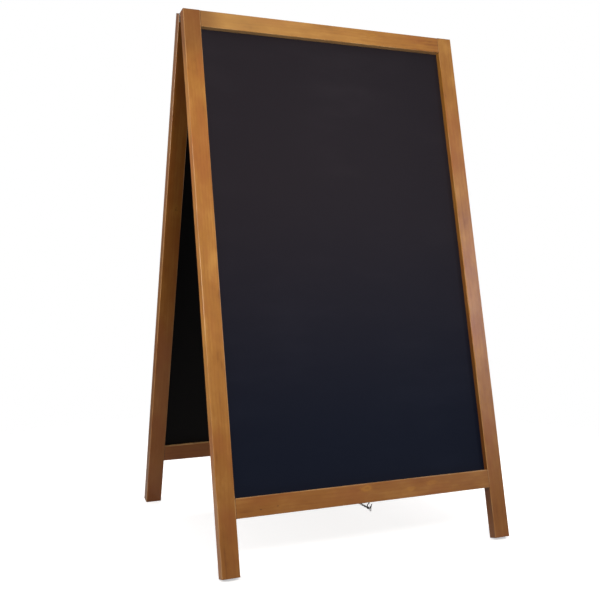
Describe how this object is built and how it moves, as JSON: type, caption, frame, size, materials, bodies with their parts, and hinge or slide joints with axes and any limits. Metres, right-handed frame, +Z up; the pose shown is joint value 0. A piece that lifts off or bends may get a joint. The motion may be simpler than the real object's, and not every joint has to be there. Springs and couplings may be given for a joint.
{
  "type": "sandwich board",
  "caption": "Folding A-frame chalkboard sign: two framed wooden leaves hinged at the top, with a spreader chain under the bottom rails.",
  "frame": {"origin": "on the ground, midway between the four feet", "axes": "+Z up, the front leaf faces -Y, +X to the right when looking at the front leaf"},
  "size_m": [0.6802, 0.6338, 1.1702],
  "materials": {
    "varnished_wood": "satin varnish",
    "dowel_wood": "raw",
    "chalkboard_paint": "matt black paint on hardboard",
    "hinge_steel": "zinc plated",
    "screw_steel": "zinc plated",
    "hook_steel": "dull zinc plated",
    "chain_steel": "zinc plated"
  },
  "bodies": {
    "front_leaf": {"front_left_stile": "varnished_wood", "front_right_stile": "varnished_wood", "front_top_rail": "varnished_wood", "front_bottom_rail": "varnished_wood", "front_chalkboard": "chalkboard_paint", "front_left_top_dowel_1": "dowel_wood", "front_left_top_dowel_2": "dowel_wood", "front_left_bottom_dowel_1": "dowel_wood", "front_left_bottom_dowel_2": "dowel_wood", "front_right_top_dowel_1": "dowel_wood", "front_right_top_dowel_2": "dowel_wood", "front_right_bottom_dowel_1": "dowel_wood", "front_right_bottom_dowel_2": "dowel_wood", "left_hinge_front_plate": "hinge_steel", "left_hinge_front_plate_screw_1": "screw_steel", "left_hinge_front_plate_screw_2": "screw_steel", "left_hinge_front_plate_screw_3": "screw_steel", "left_hinge_pin": "hinge_steel", "right_hinge_front_plate": "hinge_steel", "right_hinge_front_plate_screw_1": "screw_steel", "right_hinge_front_plate_screw_2": "screw_steel", "right_hinge_front_plate_screw_3": "screw_steel", "right_hinge_pin": "hinge_steel", "front_screw_hook": "hook_steel"},
    "rear_leaf": {"rear_left_stile": "varnished_wood", "rear_right_stile": "varnished_wood", "rear_top_rail": "varnished_wood", "rear_bottom_rail": "varnished_wood", "rear_chalkboard": "chalkboard_paint", "rear_left_top_dowel_1": "dowel_wood", "rear_left_top_dowel_2": "dowel_wood", "rear_left_bottom_dowel_1": "dowel_wood", "rear_left_bottom_dowel_2": "dowel_wood", "rear_right_top_dowel_1": "dowel_wood", "rear_right_top_dowel_2": "dowel_wood", "rear_right_bottom_dowel_1": "dowel_wood", "rear_right_bottom_dowel_2": "dowel_wood", "left_hinge_rear_plate": "hinge_steel", "left_hinge_rear_plate_screw_1": "screw_steel", "left_hinge_rear_plate_screw_2": "screw_steel", "left_hinge_rear_plate_screw_3": "screw_steel", "right_hinge_rear_plate": "hinge_steel", "right_hinge_rear_plate_screw_1": "screw_steel", "right_hinge_rear_plate_screw_2": "screw_steel", "right_hinge_rear_plate_screw_3": "screw_steel", "rear_screw_eye": "hook_steel"},
    "front_chain": {"front_chain_run": "chain_steel"},
    "rear_chain": {"rear_chain_run": "chain_steel"},
    "spare_link": {"chain_end_link": "chain_steel"}
  },
  "joints": [
    {"name": "fold", "type": "hinge", "parent": "front_leaf", "child": "rear_leaf", "pos_m": [0, 0, 1.16198], "axis": [-1, 0, 0], "range_deg": [0, 28]},
    {"name": "front_chain_swing", "type": "hinge", "parent": "front_leaf", "child": "front_chain", "pos_m": [0, -0.28104, 0.10009], "axis": [-1, 0, 0], "range_deg": [0, 104]},
    {"name": "rear_chain_swing", "type": "hinge", "parent": "rear_leaf", "child": "rear_chain", "pos_m": [0, 0.28104, 0.10009], "axis": [1, 0, 0], "range_deg": [0, 104]},
    {"name": "spare_link_swing", "type": "hinge", "parent": "front_leaf", "child": "spare_link", "pos_m": [0.0024, -0.28104, 0.10009], "axis": [1, 0, 0], "range_deg": [-45, 40]}
  ],
  "couplings": [
    {"joint": "front_chain_swing", "follows": "fold", "ratio": 3.7143},
    {"joint": "rear_chain_swing", "follows": "fold", "ratio": 3.7143}
  ]
}
